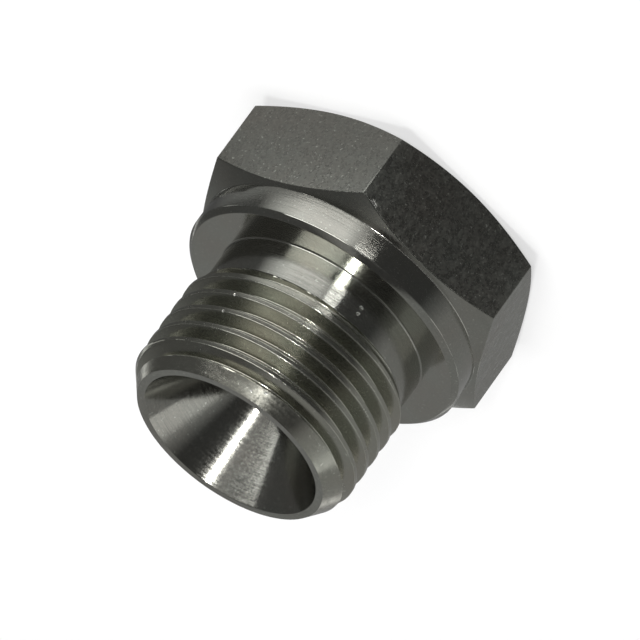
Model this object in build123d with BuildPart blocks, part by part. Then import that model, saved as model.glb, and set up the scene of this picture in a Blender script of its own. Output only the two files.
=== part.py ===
from build123d import *
import math
import os

# Blanking plug, turned from hexagon bar: hex head, round collar with a seal face, plain neck,
# parallel pipe thread and a 60 degree cone seat bored into the thread end.
# Millimetres.  The axis is +Z, the outer face of the hex head lies on z = 0, the thread points up.

# --- driving dimensions ---------------------------------------------------------------------------
ACROSS_FLATS = 27.0         # spanner size of the hex head
HEAD_HEIGHT = 11.5          # outer face of the head to the seal face
FACE_CIRCLE_STEP = 0.7      # how far the outer face's flat circle lies inside the flats
HEX_CHAMFER_DEG = 26.0      # slope of both hex chamfers, measured from the face
COLLAR_STEP = 0.35          # how far the round collar lies inside the flats
COLLAR_HEIGHT = 2.9         # hex chamfer to seal face
COLLAR_CHAMFER = 0.45       # broken rim of the seal face

THREAD_MAJOR_D = 20.955     # G 1/2 parallel pipe thread, over the crests
THREAD_PITCH = 1.814        # 14 threads to the inch
THREAD_FLANK_DEG = 27.5     # half of the 55 degree thread angle
CREST_LAND = 0.417          # flat land left along the crest
THREAD_START = 4.09         # seal face to where the groove reaches full depth, on the +X side
STUD_LENGTH = 14.4          # seal face to the thread end

NECK_RELIEF = 0.73          # how far the neck lies below the thread crests
NECK_LENGTH = 3.4           # seal face to the foot of the ramp
RAMP_DEG = 38.5             # slope of the ramp up to the crests, measured from the axis

END_RING_RELIEF = 0.29      # how far the end ring's outer edge lies below the thread root
END_RING_WIDTH = 0.69       # flat ring round the mouth of the cone seat
END_CHAMFER_DEG = 34.6      # slope of the lead chamfer, measured from the axis

CONE_DEG = 60.0             # included angle of the cone seat
PILOT_R = 2.5               # pilot drilling left at the bottom of the cone
DRILL_POINT_DEG = 118.0     # included angle of the drill point


def run(rise, degrees):
    """Length along the axis over which a slope of this angle gains that much radius."""
    return rise / math.tan(math.radians(degrees))


# --- head -----------------------------------------------------------------------------------------
flat_r = ACROSS_FLATS / 2
corner_r = flat_r / math.cos(math.radians(30))
face_circle_r = flat_r - FACE_CIRCLE_STEP
collar_r = flat_r - COLLAR_STEP
chamfer_slope = math.tan(math.radians(HEX_CHAMFER_DEG))
seal_z = HEAD_HEIGHT
hex_top_z = seal_z - COLLAR_HEIGHT
far_corner_z = (corner_r - face_circle_r) * chamfer_slope
near_corner_z = hex_top_z - (corner_r - collar_r) * chamfer_slope

# --- thread, neck and end -------------------------------------------------------------------------
thread_r = THREAD_MAJOR_D / 2
flank_slope = math.tan(math.radians(THREAD_FLANK_DEG))
sharp_depth = THREAD_PITCH / 2 / flank_slope
thread_depth = sharp_depth * 2 / 3    # a sixth of the sharp form is cut off at crest and root
root_r = thread_r - thread_depth
neck_r = thread_r - NECK_RELIEF
ramp_z = seal_z + NECK_LENGTH
ramp_end_z = ramp_z + run(NECK_RELIEF, RAMP_DEG)
end_z = seal_z + STUD_LENGTH
ring_r = root_r - END_RING_RELIEF
mouth_r = ring_r - END_RING_WIDTH
pilot_z = end_z - run(mouth_r - PILOT_R, CONE_DEG / 2)
point_z = pilot_z - run(PILOT_R, DRILL_POINT_DEG / 2)

# the groove's axial section is drawn past the crest, so that it cuts cleanly
cut_r = thread_r + thread_depth / 5
crest_half_gap = (THREAD_PITCH - CREST_LAND) / 2
root_half = crest_half_gap - thread_depth * flank_slope
cut_half = crest_half_gap + (cut_r - thread_r) * flank_slope
groove_z = seal_z + THREAD_START
groove_turns = math.ceil((end_z - groove_z) / THREAD_PITCH) + 1
blank_end_z = groove_z + (groove_turns + 2) * THREAD_PITCH

# --- one turn of the thread groove ----------------------------------------------------------------
def groove_turn(start_r, end_r, start_z):
    """One right-hand turn of the groove, whose bottom goes from one radius to another."""
    lean = math.atan2(end_r - start_r, THREAD_PITCH)
    with BuildPart() as turn:
        with BuildLine(Plane.XY.offset(start_z)):
            Helix(
                pitch=THREAD_PITCH / math.cos(lean),
                height=THREAD_PITCH,
                radius=start_r,
                cone_angle=math.degrees(lean),
            )
        with BuildSketch(Plane.XZ):
            with BuildLine():
                Polyline(
                    (start_r, start_z - root_half),
                    (start_r + cut_r - root_r, start_z - cut_half),
                    (start_r + cut_r - root_r, start_z + cut_half),
                    (start_r, start_z + root_half),
                    close=True,
                )
            make_face()
        sweep(is_frenet=True)
    return turn.part


# --- threaded stud: neck, ramp and thread ---------------------------------------------------------
with BuildPart() as stud:
    # the blank is left long, so the groove stops inside it
    with BuildSketch(Plane.XZ):
        with BuildLine():
            Polyline(
                (0, hex_top_z),
                (neck_r, hex_top_z),
                (neck_r, ramp_z),
                (thread_r, ramp_end_z),
                (thread_r, blank_end_z),
                (0, blank_end_z),
                close=True,
            )
        make_face()
    revolve(axis=Axis.Z)

    # right-hand groove, which gets shallower over its last turn and dies out on the ramp
    add(groove_turn(thread_r, root_r, groove_z - THREAD_PITCH), mode=Mode.SUBTRACT)
    full_turn = groove_turn(root_r, root_r, groove_z)
    with Locations([(0, 0, turn * THREAD_PITCH) for turn in range(groove_turns)]):
        add(full_turn, mode=Mode.SUBTRACT)

    # faced to length, with the lead chamfer
    with BuildSketch(Plane.XZ):
        with BuildLine():
            Polyline(
                (0, 0),
                (cut_r, 0),
                (cut_r, end_z - run(cut_r - ring_r, END_CHAMFER_DEG)),
                (ring_r, end_z),
                (0, end_z),
                close=True,
            )
        make_face()
    revolve(axis=Axis.Z, mode=Mode.INTERSECT)

# --- the plug: hex head, collar, stud and cone seat, one piece of bar ------------------------------
with BuildPart() as plug:
    with BuildSketch():
        RegularPolygon(radius=corner_r, side_count=6)
    extrude(amount=hex_top_z)

    # both ends of the hex are chamfered by turning
    with BuildSketch(Plane.XZ):
        with BuildLine():
            Polyline(
                (0, 0),
                (face_circle_r, 0),
                (corner_r, far_corner_z),
                (corner_r, near_corner_z),
                (collar_r, hex_top_z),
                (0, hex_top_z),
                close=True,
            )
        make_face()
    revolve(axis=Axis.Z, mode=Mode.INTERSECT)

    # collar, its rim broken beside the seal face
    with BuildSketch(Plane.XY.offset(hex_top_z)):
        Circle(collar_r)
    extrude(amount=COLLAR_HEIGHT)
    chamfer(plug.edges().filter_by(GeomType.CIRCLE).group_by(Axis.Z)[-1], length=COLLAR_CHAMFER)

    add(stud.part)

    # cone seat, with the pilot's drill point below it
    with BuildSketch(Plane.XZ):
        with BuildLine():
            Polyline(
                (0, point_z),
                (PILOT_R, pilot_z),
                (mouth_r, end_z),
                (0, end_z),
                close=True,
            )
        make_face()
    revolve(axis=Axis.Z, mode=Mode.SUBTRACT)

plug.part.label = "plug"
os.makedirs("parts", exist_ok=True)
export_step(plug.part, "parts/plug.step")
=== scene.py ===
import math

import bmesh
import bpy
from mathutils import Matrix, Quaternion, Vector


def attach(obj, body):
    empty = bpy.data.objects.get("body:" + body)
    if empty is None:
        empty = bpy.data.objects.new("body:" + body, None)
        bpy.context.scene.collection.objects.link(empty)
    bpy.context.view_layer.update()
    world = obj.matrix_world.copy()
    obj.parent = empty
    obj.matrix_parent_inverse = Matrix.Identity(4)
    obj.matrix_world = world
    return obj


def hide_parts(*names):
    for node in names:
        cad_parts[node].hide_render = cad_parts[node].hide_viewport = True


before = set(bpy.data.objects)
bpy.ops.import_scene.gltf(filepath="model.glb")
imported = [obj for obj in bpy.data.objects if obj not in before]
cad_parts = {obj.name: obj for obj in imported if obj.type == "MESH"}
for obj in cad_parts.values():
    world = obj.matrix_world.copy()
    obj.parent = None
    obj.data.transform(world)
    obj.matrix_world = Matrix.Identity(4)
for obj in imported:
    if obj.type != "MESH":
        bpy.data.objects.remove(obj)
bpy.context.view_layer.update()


# --- the camera -----------------------------------------------------------------------------------
# A long lens a metre away, so the plug looks almost flat.  It looks down on the thread end and is
# rolled over, so the plug leans to the lower left.
camera_azimuth = math.radians(-72.07)
camera_elevation = math.radians(26.88)
camera_roll = math.radians(-144.13)
camera_distance = 1.0027
camera_aim = Vector((0, 0, 0.0116))

outward = Vector((
    math.cos(camera_elevation) * math.cos(camera_azimuth),
    math.cos(camera_elevation) * math.sin(camera_azimuth),
    math.sin(camera_elevation),
))
camera_data = bpy.data.cameras.new("long_lens")
camera_data.sensor_width = 36
camera_data.lens = 678.2
camera_data.clip_start = 0.05
camera_data.clip_end = 20
camera = bpy.data.objects.new("camera", camera_data)
bpy.context.scene.collection.objects.link(camera)
camera.location = camera_aim + camera_distance * outward
rolled = outward.to_track_quat("Z", "Y") @ Quaternion((0, 0, 1), camera_roll)
camera.rotation_euler = rolled.to_euler()
bpy.context.scene.camera = camera


# --- hex head, collar, seal face and neck ---------------------------------------------------------
# Cold drawn hexagon bar, faced and turned down to a round collar with a flat seal face.  Both ends
# of the hex are chamfered on the lathe, so each flat ends in a shallow curve.  Zinc plated.
flat_radius = 0.0135
corner_radius = flat_radius / math.cos(math.radians(30))
face_circle_radius = 0.0128
collar_radius = 0.01315
collar_foot = 0.0086
seal_height = 0.0115
collar_rim = 0.00045
hex_chamfer_slope = math.tan(math.radians(26))
flat_foot = 0.001
flat_top = 0.008
edge_break = 0.00007
neck_radius = 0.0097475
neck_fillet = 0.00015
neck_top = 0.0149
head_steps = 360


def profile_edges(mesh, points):
    """Join points given as radius and height by edges, in the half plane through +X."""
    corners = [mesh.verts.new((radius, 0, height)) for radius, height in points]
    return [mesh.edges.new(pair) for pair in zip(corners, corners[1:])]


def hexagon_radius(angle):
    """Radius of the hexagon's outline at an angle, with a corner on +X."""
    return flat_radius / math.cos((angle % math.radians(60)) - math.radians(30))


def finish_mesh(mesh, name, sharp_degrees):
    """Turn a bmesh into an object whose faces point outwards and whose hard edges stay hard."""
    bmesh.ops.remove_doubles(mesh, verts=mesh.verts, dist=1e-7)
    bmesh.ops.recalc_face_normals(mesh, faces=mesh.faces)
    data = bpy.data.meshes.new(name)
    mesh.to_mesh(data)
    mesh.free()
    data.shade_smooth()
    data.set_sharp_from_angle(angle=math.radians(sharp_degrees))
    piece = bpy.data.objects.new(name, data)
    bpy.context.scene.collection.objects.link(piece)
    weighted = piece.modifiers.new("large_faces_stay_true", "WEIGHTED_NORMAL")
    weighted.keep_sharp = True
    return piece


head = bmesh.new()
fillet_steps = 8
neck_curve = [
    (
        neck_radius + neck_fillet * (1 - math.sin(math.radians(90) * step / fillet_steps)),
        seal_height + neck_fillet * (1 - math.cos(math.radians(90) * step / fillet_steps)),
    )
    for step in range(fillet_steps + 1)
]
head_profile = profile_edges(head, [
    (0, 0),
    (face_circle_radius, 0),
    (corner_radius, flat_foot),
    (corner_radius, flat_top),
    (collar_radius, collar_foot),
    (collar_radius, seal_height - collar_rim),
    (collar_radius - collar_rim, seal_height),
] + neck_curve + [(neck_radius, neck_top)])
bmesh.ops.spin(
    head, geom=head_profile + head.verts[:], cent=(0, 0, 0), axis=(0, 0, 1), angle=math.tau,
    steps=head_steps, use_merge=True,
)
bmesh.ops.remove_doubles(head, verts=head.verts, dist=1e-7)

# the two outermost rings are drawn in to the hexagon and follow the turned chamfers
for vert in head.verts:
    if math.hypot(vert.co.x, vert.co.y) < corner_radius - 1e-5:
        continue
    angle = math.atan2(vert.co.y, vert.co.x)
    radius = hexagon_radius(angle)
    if vert.co.z < (flat_foot + flat_top) / 2:
        height = (radius - face_circle_radius) * hex_chamfer_slope
    else:
        height = collar_foot - (radius - collar_radius) * hex_chamfer_slope
    vert.co = (radius * math.cos(angle), radius * math.sin(angle), height)

bmesh.ops.recalc_face_normals(head, faces=head.faces)
hard_edges = [
    edge for edge in head.edges
    if len(edge.link_faces) == 2 and edge.calc_face_angle() > math.radians(15)
]
bmesh.ops.bevel(
    head, geom=hard_edges, offset=edge_break, segments=3, profile=0.5, affect="EDGES", material=-1,
)
plug_head = finish_mesh(head, "plug_head", 12)


def new_group(name, inputs, outputs):
    """Shader node group with named inputs and outputs, with its two end nodes."""
    group = bpy.data.node_groups.new(name, "ShaderNodeTree")
    for label, kind in inputs.items():
        group.interface.new_socket(name=label, in_out="INPUT", socket_type="NodeSocket" + kind)
    for label, kind in outputs.items():
        group.interface.new_socket(name=label, in_out="OUTPUT", socket_type="NodeSocket" + kind)
    return group, group.nodes.new("NodeGroupInput").outputs, group.nodes.new("NodeGroupOutput").inputs


def calculate(tree, kind, operation, *values):
    """Math or VectorMath node: sockets are linked in and plain numbers are set."""
    node = tree.nodes.new("ShaderNode" + kind)
    node.operation = operation
    for socket, value in zip(node.inputs, values):
        if isinstance(value, bpy.types.NodeSocket):
            tree.links.new(value, socket)
        else:
            socket.default_value = value
    if operation in ("LENGTH", "DISTANCE", "DOT_PRODUCT"):
        return node.outputs["Value"]
    return node.outputs[0]


def spread(tree, value, low, high, from_low=0, from_high=1):
    """Map Range node: stretches a value to lie between low and high."""
    node = tree.nodes.new("ShaderNodeMapRange")
    tree.links.new(value, node.inputs["Value"])
    node.inputs["From Min"].default_value = from_low
    node.inputs["From Max"].default_value = from_high
    node.inputs["To Min"].default_value = low
    node.inputs["To Max"].default_value = high
    return node.outputs["Result"]


def cloud(tree, place, scale, detail):
    """Noise texture read at a place."""
    node = tree.nodes.new("ShaderNodeTexNoise")
    tree.links.new(place, node.inputs["Vector"])
    if isinstance(scale, bpy.types.NodeSocket):
        tree.links.new(scale, node.inputs["Scale"])
    else:
        node.inputs["Scale"].default_value = scale
    node.inputs["Detail"].default_value = detail
    return node.outputs["Fac"]


def make_turning_marks():
    """Rings left by a lathe tool.  They follow the radius and the height, and fade round the turn."""
    height_share = 1.7
    group, given, result = new_group(
        "turning_marks", {"Position": "Vector", "Marks per Metre": "Float", "Wander": "Float"},
        {"Marks": "Float"},
    )
    across = calculate(group, "VectorMath", "MULTIPLY", given["Position"], (1, 1, 0))
    radius = calculate(group, "VectorMath", "LENGTH", across)
    bearing = calculate(group, "VectorMath", "NORMALIZE", across)
    wandering = calculate(group, "VectorMath", "MULTIPLY", bearing, given["Wander"])
    split = group.nodes.new("ShaderNodeSeparateXYZ")
    group.links.new(given["Position"], split.inputs["Vector"])
    height = calculate(group, "Math", "MULTIPLY", split.outputs["Z"], height_share)
    along = calculate(group, "Math", "ADD", height, radius)
    ring = calculate(group, "Math", "MULTIPLY", along, given["Marks per Metre"])
    step = group.nodes.new("ShaderNodeCombineXYZ")
    group.links.new(ring, step.inputs["Z"])
    place = calculate(group, "VectorMath", "ADD", wandering, step.outputs["Vector"])
    group.links.new(cloud(group, place, 1, 2), result["Marks"])
    return group


def make_plated_grain():
    """Zinc plate close up: a fine grain, single bright specks and large faint patches."""
    speck_share = 0.83
    speck_offset = (0.03, 0.05, 0.07)
    patch_share = 0.04
    group, given, result = new_group(
        "plated_grain", {"Position": "Vector", "Grains per Metre": "Float"},
        {"Grain": "Float", "Specks": "Float", "Patches": "Float"},
    )
    grain = cloud(group, given["Position"], given["Grains per Metre"], 3)
    group.links.new(spread(group, grain, 0, 1, 0.3, 0.7), result["Grain"])
    finer = calculate(group, "Math", "MULTIPLY", given["Grains per Metre"], speck_share)
    moved = calculate(group, "VectorMath", "ADD", given["Position"], speck_offset)
    specks = cloud(group, moved, finer, 1)
    group.links.new(spread(group, specks, 0, 1, 0.66, 0.78), result["Specks"])
    coarser = calculate(group, "Math", "MULTIPLY", given["Grains per Metre"], patch_share)
    patches = cloud(group, given["Position"], coarser, 3)
    group.links.new(spread(group, patches, 0, 1, 0.3, 0.7), result["Patches"])
    return group


def make_worn_edges():
    """Mask of the corners, where handling has rubbed the plating bright, in broken stretches."""
    breaks_per_metre = 1500
    group, given, result = new_group(
        "worn_edges", {"Position": "Vector", "Width": "Float", "Gain": "Float"}, {"Wear": "Float"},
    )
    rounded = group.nodes.new("ShaderNodeBevel")
    rounded.samples = 6
    group.links.new(given["Width"], rounded.inputs["Radius"])
    true_normal = group.nodes.new("ShaderNodeNewGeometry").outputs["Normal"]
    alike = calculate(group, "VectorMath", "DOT_PRODUCT", rounded.outputs["Normal"], true_normal)
    bent = calculate(group, "Math", "SUBTRACT", 1, alike)
    strong = calculate(group, "Math", "MULTIPLY", bent, given["Gain"])
    broken = spread(group, cloud(group, given["Position"], breaks_per_metre, 3), 0, 1, 0.35, 0.6)
    wear = calculate(group, "Math", "MULTIPLY", strong, broken)
    group.links.new(spread(group, wear, 0, 1), result["Wear"])
    return group


def make_nick():
    """Mask of one small dent: a spot with a ragged outline."""
    rags_per_metre = 8000
    group, given, result = new_group(
        "nick", {"Position": "Vector", "Place": "Vector", "Size": "Float"}, {"Nick": "Float"},
    )
    away = calculate(group, "VectorMath", "DISTANCE", given["Position"], given["Place"])
    sizes = calculate(group, "Math", "DIVIDE", away, given["Size"])
    ragged = spread(group, cloud(group, given["Position"], rags_per_metre, 2), -0.8, 0.8)
    edge = calculate(group, "Math", "ADD", sizes, ragged)
    group.links.new(spread(group, edge, 1, 0, 0.5, 1), result["Nick"])
    return group


turning_marks = make_turning_marks()
plated_grain = make_plated_grain()
worn_edges = make_worn_edges()
nick = make_nick()


def plated(name, finish, nicks=()):
    """Zinc plate over steel.  Fine turning marks smear reflections across them where smear is set."""
    worn_width = 0.00012
    bump_height = 0.00001
    dent_depth = 3
    bare_steel = (0.85, 0.85, 0.8)
    patch_tint = (0.97, 0.91, 0.9)
    material = bpy.data.materials.new(name)
    material.use_nodes = True
    tree = material.node_tree
    shader = tree.nodes["Principled BSDF"]
    shader.inputs["Metallic"].default_value = 1
    shader.inputs["Anisotropic"].default_value = finish["smear"]
    shader.inputs["Anisotropic Rotation"].default_value = 0.25
    if finish["smear"]:
        round_axis = tree.nodes.new("ShaderNodeTangent")
        round_axis.direction_type = "RADIAL"
        round_axis.axis = "Z"
        tree.links.new(round_axis.outputs["Tangent"], shader.inputs["Tangent"])
    position = tree.nodes.new("ShaderNodeTexCoord").outputs["Object"]

    def place_group(group, **settings):
        node = tree.nodes.new("ShaderNodeGroup")
        node.node_tree = group
        tree.links.new(position, node.inputs["Position"])
        for label, value in settings.items():
            node.inputs[label.replace("_", " ")].default_value = value
        return node.outputs

    def tint(mask, under, over):
        node = tree.nodes.new("ShaderNodeMix")
        node.data_type = "RGBA"
        tree.links.new(mask, node.inputs[0])
        for socket, colour in ((node.inputs[6], under), (node.inputs[7], over)):
            if isinstance(colour, bpy.types.NodeSocket):
                tree.links.new(colour, socket)
            else:
                socket.default_value = (*colour, 1)
        return node.outputs[2]

    grain = place_group(plated_grain, Grains_per_Metre=finish["grains"])
    turning = place_group(turning_marks, Marks_per_Metre=finish["marks"], Wander=finish["wander"])
    marks = turning["Marks"]
    wear = place_group(worn_edges, Width=worn_width, Gain=finish["edge_wear"])["Wear"]

    zinc = finish["zinc"]
    dull = [tone * finish["dull"] for tone in zinc]
    bright = [tone * finish["bright"] for tone in zinc]
    patchy = [tone * shade for tone, shade in zip(zinc, patch_tint)]
    cloudy = tint(grain["Patches"], zinc, patchy)
    shaded = tint(spread(tree, grain["Grain"], 0.5, 0), cloudy, dull)
    lined = tint(spread(tree, marks, 0, finish["mark_tone"], 0.5, 0.75), shaded, dull)
    speckled = tint(spread(tree, grain["Specks"], 0, 0.8), lined, bright)
    rubbed = tint(wear, speckled, bright)

    ridges = calculate(tree, "Math", "MULTIPLY", marks, finish["mark_depth"])
    pits = calculate(tree, "Math", "MULTIPLY", grain["Grain"], finish["grain_depth"])
    surface = calculate(tree, "Math", "ADD", ridges, pits)
    for place, size in nicks:
        spot = place_group(nick, Place=place, Size=size)["Nick"]
        rubbed = tint(spot, rubbed, bare_steel)
        dent = calculate(tree, "Math", "MULTIPLY", spot, dent_depth)
        surface = calculate(tree, "Math", "SUBTRACT", surface, dent)
    tree.links.new(rubbed, shader.inputs["Base Color"])

    rough = finish["roughness"]
    uneven = spread(tree, grain["Grain"], rough * 0.8, rough * 1.2)
    scored = spread(tree, marks, rough * -0.25, rough * 0.25, 0.3, 0.7)
    tree.links.new(calculate(tree, "Math", "ADD", uneven, scored), shader.inputs["Roughness"])

    bump = tree.nodes.new("ShaderNodeBump")
    bump.inputs["Distance"].default_value = bump_height
    bump.inputs["Strength"].default_value = 1
    tree.links.new(surface, bump.inputs["Height"])
    tree.links.new(bump.outputs["Normal"], shader.inputs["Normal"])
    return material


plated_steel = (0.40, 0.41, 0.37)

# flats as the bar was drawn: an even, finely speckled grain
drawn_zinc = plated("drawn_zinc", {
    "zinc": plated_steel, "dull": 0.5, "bright": 2.2, "roughness": 0.32, "smear": 0, "grains": 5200,
    "grain_depth": 0.5, "marks": 800, "wander": 30, "mark_depth": 0, "mark_tone": 0, "edge_wear": 1.2,
}, nicks=(((0.00655, -0.0135, 0.00765), 0.00042), ((0.00632, -0.0135, 0.0082), 0.0003)))

# chamfers and collar, turned with a fine feed
turned_zinc = plated("turned_zinc", {
    "zinc": plated_steel, "dull": 0.75, "bright": 1.4, "roughness": 0.13, "smear": 0.35, "grains": 5200,
    "grain_depth": 0.15, "marks": 5500, "wander": 3, "mark_depth": 0.25, "mark_tone": 0.5,
    "edge_wear": 1.2,
})

# seal face, faced smooth so that it seals
faced_zinc = plated("faced_zinc", {
    "zinc": plated_steel, "dull": 0.85, "bright": 1.2, "roughness": 0.12, "smear": 0.4, "grains": 4500,
    "grain_depth": 0.06, "marks": 4500, "wander": 3, "mark_depth": 0.1, "mark_tone": 0.3,
    "edge_wear": 0.6,
})

# neck, turned bright
neck_zinc = plated("neck_zinc", {
    "zinc": plated_steel, "dull": 0.8, "bright": 1.4, "roughness": 0.17, "smear": 0.5, "grains": 4500,
    "grain_depth": 0.1, "marks": 4500, "wander": 3, "mark_depth": 0.12, "mark_tone": 0.3,
    "edge_wear": 0.6,
}, nicks=(((0.00089, -0.00971, 0.0133), 0.0002), ((0.0008, -0.00972, 0.0139), 0.00018)))

turned_slot, drawn_slot, faced_slot, neck_slot = range(4)
for finish in (turned_zinc, drawn_zinc, faced_zinc, neck_zinc):
    plug_head.data.materials.append(finish)
for face in plug_head.data.polygons:
    radius = face.center.xy.length
    face.material_index = turned_slot
    if abs(face.normal.z) < 0.02 and radius > flat_radius * 0.999:
        face.material_index = drawn_slot
    if face.center.z > seal_height - 0.00001 and face.normal.z > 0.9:
        face.material_index = faced_slot
    if face.center.z > seal_height and radius < neck_radius + neck_fillet:
        face.material_index = neck_slot
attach(plug_head, "root")
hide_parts("plug")


# --- pipe thread with its run-out and lead chamfer ------------------------------------------------
# A right-hand parallel pipe thread of 1.814 mm pitch, cut with a single point tool.  Its crests keep
# a narrow flat land.  The tool backs out over the last turn, on the ramp above the neck.
thread_radius = 0.0104775
thread_root = 0.009316
thread_depth = thread_radius - thread_root
thread_pitch = 0.001814
crest_land = 0.000417
root_land = 0.0001875
groove_start = seal_height + 0.00409
thread_end = 0.0259
end_ring_radius = 0.009026
ramp_slope = math.tan(math.radians(38.5))
lead_slope = math.tan(math.radians(34.6))
thread_turns = 9
turn_steps = 288
flank_rows = 12
crest_break = 0.00004

thread = bmesh.new()
crest_gap = (thread_pitch - crest_land) / 2
first_groove = groove_start - 2 * thread_pitch
thread_profile = profile_edges(thread, [
    (thread_root, first_groove),
    (thread_root, first_groove + root_land / 2),
    (thread_radius, first_groove + crest_gap),
    (thread_radius, first_groove + thread_pitch - crest_gap),
    (thread_root, first_groove + thread_pitch - root_land / 2),
    (thread_root, first_groove + thread_pitch),
])
bmesh.ops.subdivide_edges(thread, edges=[thread_profile[1], thread_profile[3]], cuts=flank_rows - 1)
bmesh.ops.subdivide_edges(thread, edges=[thread_profile[2]], cuts=3)
thread.verts.ensure_lookup_table()
corners = [
    vert for vert in thread.verts
    if len(vert.link_edges) == 2 and vert.calc_edge_angle() > math.radians(8)
]
bmesh.ops.bevel(
    thread, geom=corners, offset=crest_break, segments=3, profile=0.5, affect="VERTICES", material=-1,
)
bmesh.ops.spin(
    thread, geom=thread.edges[:] + thread.verts[:], cent=(0, 0, 0), axis=(0, 0, 1),
    dvec=(0, 0, thread_pitch / turn_steps), angle=math.tau, steps=turn_steps,
)
first_turn = thread.verts[:] + thread.edges[:] + thread.faces[:]
for turn in range(1, thread_turns):
    copied = bmesh.ops.duplicate(thread, geom=first_turn)["geom"]
    bmesh.ops.translate(
        thread, verts=[part for part in copied if isinstance(part, bmesh.types.BMVert)],
        vec=(0, 0, turn * thread_pitch),
    )
bmesh.ops.remove_doubles(thread, verts=thread.verts, dist=1e-7)
for height, upward in ((neck_top, -1), (thread_end, 1)):
    bmesh.ops.bisect_plane(
        thread, geom=thread.verts[:] + thread.edges[:] + thread.faces[:],
        plane_co=(0, 0, height), plane_no=(0, 0, upward), clear_outer=True,
    )
for vert in thread.verts:
    radius = math.hypot(vert.co.x, vert.co.y)
    turned = (math.atan2(vert.co.y, vert.co.x) % math.tau) / math.tau
    winding = round((vert.co.z - groove_start) / thread_pitch - turned) + turned
    backed_out = thread_depth * min(1, max(0, -winding))
    limit = min(
        thread_radius,
        radius + backed_out,
        neck_radius + (vert.co.z - neck_top) * ramp_slope,
        end_ring_radius + (thread_end - vert.co.z) * lead_slope,
    )
    vert.co.x *= limit / radius
    vert.co.y *= limit / radius
pipe_thread = finish_mesh(thread, "pipe_thread", 25)

# the thread, cut clean and plated a little paler, with a few knocks on its crests and end chamfer
paler_steel = (0.45, 0.46, 0.4)
thread_zinc = plated("thread_zinc", {
    "zinc": paler_steel, "dull": 0.87, "bright": 1.4, "roughness": 0.2, "smear": 0.2, "grains": 4200,
    "grain_depth": 0.03, "marks": 3000, "wander": 4, "mark_depth": 0.05, "mark_tone": 0.3,
    "edge_wear": 1.5,
}, nicks=(
    ((0.00899, -0.00538, 0.01831), 0.00014), ((0.009, -0.00536, 0.02014), 0.00012),
    ((0.00409, -0.00965, 0.02192), 0.00016), ((0.00254, -0.01017, 0.02366), 0.00013),
    ((0.00304, -0.00922, 0.02492), 0.00014), ((0.00401, -0.00853, 0.02533), 0.00012),
))
pipe_thread.data.materials.append(thread_zinc)
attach(pipe_thread, "root")
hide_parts("plug")


# --- end ring and cone seat -----------------------------------------------------------------------
# A 60 degree cone bored into the thread end with a form tool, over a short pilot drilling, with a
# thin flat ring left round its mouth.
mouth_radius = 0.008336
pilot_radius = 0.0025
pilot_height = thread_end - (mouth_radius - pilot_radius) / math.tan(math.radians(30))
point_height = pilot_height - pilot_radius / math.tan(math.radians(59))
mouth_break = 0.00005

seat = bmesh.new()
seat_profile = profile_edges(seat, [
    (end_ring_radius, thread_end),
    (mouth_radius, thread_end),
    (pilot_radius, pilot_height),
    (0, point_height),
])
bmesh.ops.spin(
    seat, geom=seat_profile + seat.verts[:], cent=(0, 0, 0), axis=(0, 0, 1), angle=math.tau,
    steps=head_steps, use_merge=True,
)
bmesh.ops.remove_doubles(seat, verts=seat.verts, dist=1e-7)
seat_edges = [
    edge for edge in seat.edges
    if len(edge.link_faces) == 2 and edge.calc_face_angle() > math.radians(15)
]
bmesh.ops.bevel(
    seat, geom=seat_edges, offset=mouth_break, segments=3, profile=0.5, affect="EDGES", material=-1,
)
cone_seat = finish_mesh(seat, "cone_seat", 12)

# the cone, bored bright, with the tool's rings showing near its mouth
bored_zinc = plated("bored_zinc", {
    "zinc": plated_steel, "dull": 0.7, "bright": 1.35, "roughness": 0.14, "smear": 0.25, "grains": 4500,
    "grain_depth": 0.05, "marks": 3800, "wander": 2.5, "mark_depth": 0.12, "mark_tone": 0.5,
    "edge_wear": 0.6,
})
cone_seat.data.materials.append(bored_zinc)
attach(cone_seat, "root")
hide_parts("plug")


# --- floor and light ------------------------------------------------------------------------------
# A pale matt floor under soft lamps.  Bright metal shows what stands round it, so the studio has a
# dark front, a window side, a dim far side and a pale back.  Glowing cards lie on the floor that only
# the metal shows: they are painted reflections, painted shade on the flats and thread and a painted
# highlight and glint on the collar and neck.
floor_reach = 1.5
floor_glow = 0.6
floor_mesh = bmesh.new()
bmesh.ops.create_grid(floor_mesh, x_segments=1, y_segments=1, size=floor_reach)
floor = finish_mesh(floor_mesh, "floor", 30)
floor_paint = bpy.data.materials.new("floor_paint")
floor_paint.use_nodes = True
nodes = floor_paint.node_tree.nodes
links = floor_paint.node_tree.links
matt = nodes["Principled BSDF"]
matt.inputs["Base Color"].default_value = (0.9, 0.9, 0.9, 1)
matt.inputs["Roughness"].default_value = 0.9
glow = nodes.new("ShaderNodeEmission")
sight = nodes.new("ShaderNodeLightPath")
seen = nodes.new("ShaderNodeMath")
seen.operation = "ADD"
links.new(sight.outputs["Is Camera Ray"], seen.inputs[0])
links.new(sight.outputs["Is Glossy Ray"], seen.inputs[1])
seen_through = nodes.new("ShaderNodeMath")
seen_through.operation = "ADD"
links.new(seen.outputs[0], seen_through.inputs[0])
links.new(sight.outputs["Is Transmission Ray"], seen_through.inputs[1])
share = nodes.new("ShaderNodeMath")
share.operation = "MULTIPLY"
share.use_clamp = True
share.inputs[1].default_value = floor_glow
links.new(seen_through.outputs[0], share.inputs[0])
mixed = nodes.new("ShaderNodeMixShader")
links.new(share.outputs[0], mixed.inputs["Fac"])
links.new(matt.outputs["BSDF"], mixed.inputs[1])
links.new(glow.outputs["Emission"], mixed.inputs[2])
links.new(mixed.outputs["Shader"], nodes["Material Output"].inputs["Surface"])
floor.data.materials.append(floor_paint)

# the studio's plain greys, for the walls and for the painted reflections of the floor cards
dark_front = 0.06
dim_side = 0.1
pale_back = 0.3


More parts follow.
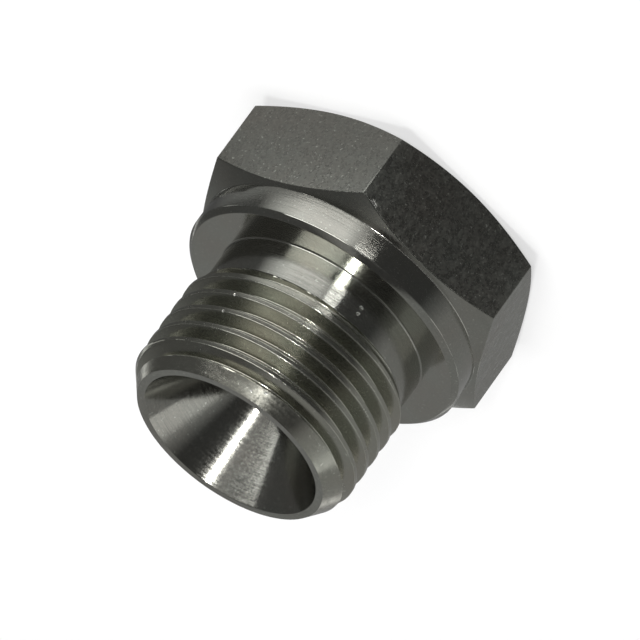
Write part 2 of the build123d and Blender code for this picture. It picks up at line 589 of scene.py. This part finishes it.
def studio_tones(window_side, window_end):
    """Brightness by compass direction round the plug, for the walls and for the painted reflections of
    the floor cards.  The window side runs from -55 degrees.
    """
    return {
        -180: pale_back, -135: pale_back, -115: dark_front, -70: dark_front, -55: window_side,
        window_end: window_side, window_end + 30: dim_side, 70: dim_side, 100: pale_back,
        180: pale_back,
    }


def compass_greys(tree, place, tones):
    """Colour ramp of greys by compass direction round the plug."""
    compass = tree.nodes.new("ShaderNodeTexGradient")
    compass.gradient_type = "RADIAL"
    tree.links.new(place, compass.inputs["Vector"])
    ramp = tree.nodes.new("ShaderNodeValToRGB")
    tree.links.new(compass.outputs["Fac"], ramp.inputs["Fac"])
    stops = ramp.color_ramp.elements
    for direction, tone in tones.items():
        if direction == -180:
            stop = stops[0]
        elif direction == 180:
            stop = stops[-1]
        else:
            stop = stops.new(direction / 360 + 0.5)
        stop.color = (tone, tone, tone, 1)
    return ramp.outputs["Color"]


world = bpy.data.worlds.new("studio")
bpy.context.scene.world = world
world.use_nodes = True
around = world.node_tree.nodes.new("ShaderNodeTexCoord")
wall_tones = studio_tones(window_side=0.33, window_end=-40)
walls = compass_greys(world.node_tree, around.outputs["Generated"], wall_tones)
world.node_tree.links.new(walls, world.node_tree.nodes["Background"].inputs["Color"])


def painted_reflection_card(name, inner, outer, sector, height, shine, tones):
    """Sector of a ring of glowing card on the floor round the plug, seen only in the metal and shaded
    by compass direction: a painted reflection.
    """
    mesh = bmesh.new()
    bmesh.ops.create_circle(mesh, segments=180, radius=inner)
    rim = bmesh.ops.extrude_edge_only(mesh, edges=mesh.edges[:])["geom"]
    for part in rim:
        if isinstance(part, bmesh.types.BMVert):
            part.co *= outer / inner
    for face in mesh.faces[:]:
        middle = face.calc_center_median()
        if not sector[0] < math.degrees(math.atan2(middle.y, middle.x)) < sector[1]:
            mesh.faces.remove(face)
    bmesh.ops.translate(mesh, verts=mesh.verts, vec=(0, 0, height))
    card = finish_mesh(mesh, name, 30)
    paint = bpy.data.materials.new(name + "_paint")
    paint.use_nodes = True
    nodes = paint.node_tree.nodes
    links = paint.node_tree.links
    glow = nodes.new("ShaderNodeEmission")
    glow.inputs["Strength"].default_value = shine
    place = nodes.new("ShaderNodeTexCoord")
    links.new(compass_greys(paint.node_tree, place.outputs["Object"], tones), glow.inputs["Color"])
    links.new(glow.outputs["Emission"], nodes["Material Output"].inputs["Surface"])
    card.data.materials.append(paint)
    card.visible_camera = False
    card.visible_diffuse = False
    card.visible_shadow = False


whole_turn = (-181, 181)
on_floor = 0.00005
above_cards = 0.0001
# painted reflection for the hex flats: its dark sector paints shade into the flat facing the front
painted_reflection_card(
    "flats_painted_reflection", inner=0.005, outer=0.0295, sector=whole_turn, height=on_floor, shine=1,
    tones=studio_tones(window_side=0.3, window_end=20),
)
# painted highlight for the collar and neck: its window sector glows brighter than white
painted_reflection_card(
    "collar_neck_painted_highlight", inner=0.0295, outer=0.0415, sector=whole_turn, height=on_floor, shine=1,
    tones=studio_tones(window_side=1.5, window_end=-25),
)
# painted reflection for the thread, with painted shade on its dark sectors
painted_reflection_card(
    "thread_painted_reflection", inner=0.0415, outer=0.2, sector=whole_turn, height=on_floor, shine=1,
    tones=studio_tones(window_side=0.2, window_end=-20),
)
# a narrow bright card paints the neck's glint: a painted highlight, seen only in the metal
painted_reflection_card(
    "neck_painted_glint", inner=0.0362, outer=0.0388, sector=(-75, -63), height=above_cards, shine=8,
    tones={-180: 1, 180: 1},
)


def softbox(name, azimuth, elevation, distance, width, height, watts):
    """Oblong lamp aimed at the plug from a compass direction and a height above the floor."""
    lamp = bpy.data.lights.new(name, "AREA")
    lamp.energy = watts
    lamp.shape = "RECTANGLE"
    lamp.size = width
    lamp.size_y = height
    away = Vector((
        math.cos(math.radians(elevation)) * math.cos(math.radians(azimuth)),
        math.cos(math.radians(elevation)) * math.sin(math.radians(azimuth)),
        math.sin(math.radians(elevation)),
    ))
    holder = bpy.data.objects.new(name, lamp)
    bpy.context.scene.collection.objects.link(holder)
    holder.location = camera_aim + distance * away
    holder.rotation_euler = away.to_track_quat("Z", "Y").to_euler()
    return holder


# the overhead box lights the floor and doesn't show in the metal
overhead_box = softbox(
    "overhead_box", azimuth=0, elevation=90, distance=0.8, width=0.6, height=0.6, watts=6,
)
overhead_box.visible_glossy = False
softbox("window_box", azimuth=-31, elevation=16.5, distance=0.6, width=0.52, height=0.25, watts=1.4)
softbox("back_box", azimuth=-155, elevation=17, distance=0.6, width=0.4, height=0.2, watts=0.14)
softbox("lens_lamp", azimuth=-67.6, elevation=29.5, distance=0.9, width=0.08, height=0.13, watts=3.2)

bpy.context.scene.view_settings.view_transform = "Standard"
